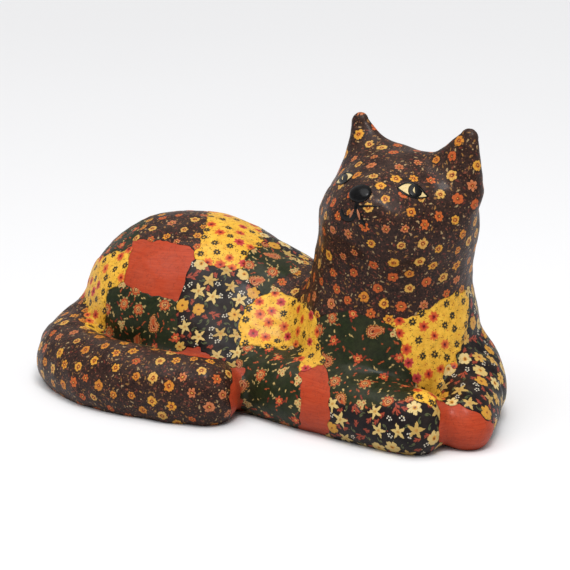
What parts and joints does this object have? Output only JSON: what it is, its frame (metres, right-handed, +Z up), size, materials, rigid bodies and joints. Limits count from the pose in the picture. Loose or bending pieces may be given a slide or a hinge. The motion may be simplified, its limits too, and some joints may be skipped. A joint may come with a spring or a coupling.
{
  "type": "reclining cat figure",
  "caption": "Hollow papier-mache figure of a cat lying down with its head raised, covered in varnished patchwork cloth.",
  "frame": {"origin": "middle of the footprint, on the surface that the cat lies on", "axes": "+X towards the head end, along the body; -Y is the side that the cat turns its face to; +Z up"},
  "size_m": [0.3016, 0.1736, 0.168],
  "materials": {
    "cloth_brown": "dark brown printed calico with small yellow and orange flowers, glued and varnished",
    "cloth_yellow": "golden yellow printed calico with small red and black flowers, glued and varnished",
    "cloth_green": "dark green printed calico with orange flowers and paisleys, glued and varnished",
    "cloth_black": "near-black printed calico with cream and yellow flowers and stars, glued and varnished",
    "cloth_orange": "plain terracotta orange cotton with a visible weave, glued and varnished",
    "papier_mache": "raw layered paper and glue, matte",
    "card": "brown card, sealed, matte",
    "black_paint": "glossy black enamel paint",
    "cream_paint": "glossy cream enamel paint"
  },
  "bodies": {
    "root": {"shell_near_half": "papier_mache", "shell_far_half": "papier_mache", "base_board": "card", "patch_head_brown": "cloth_brown", "patch_tail_end_orange": "cloth_orange", "patch_tail_brown": "cloth_brown", "patch_rump_yellow": "cloth_yellow", "patch_rump_green_high": "cloth_green", "patch_rump_orange": "cloth_orange", "patch_rump_brown": "cloth_brown", "patch_back_yellow": "cloth_yellow", "patch_rump_green_low": "cloth_green", "patch_side_black": "cloth_black", "patch_tail_tip_orange": "cloth_orange", "patch_back_green": "cloth_green", "patch_back_black": "cloth_black", "patch_side_yellow": "cloth_yellow", "patch_side_green": "cloth_green", "patch_leg_orange": "cloth_orange", "patch_chest_green": "cloth_green", "patch_paw_orange": "cloth_orange", "patch_leg_black": "cloth_black", "patch_chest_yellow": "cloth_yellow", "patch_shoulder_green": "cloth_green", "patch_shoulder_black": "cloth_black", "patch_far_chest_yellow": "cloth_yellow", "patch_far_chest_black": "cloth_black", "patch_far_side_green": "cloth_green", "patch_far_side_orange": "cloth_orange", "patch_far_side_yellow": "cloth_yellow", "patch_far_back_brown": "cloth_brown", "patch_far_rump_black": "cloth_black", "patch_far_rump_orange": "cloth_orange", "patch_far_rump_green": "cloth_green", "patch_far_rump_yellow": "cloth_yellow", "patch_far_tail_black": "cloth_black", "patch_far_tail_yellow": "cloth_yellow", "patch_far_tail_brown": "cloth_brown", "eye_left_white_inner": "cream_paint", "eye_left_white_outer": "cream_paint", "eye_left_pupil": "black_paint", "eye_right_white_inner": "cream_paint", "eye_right_white_outer": "cream_paint", "eye_right_pupil": "black_paint", "nose": "black_paint", "mouth": "black_paint"}
  },
  "joints": []
}
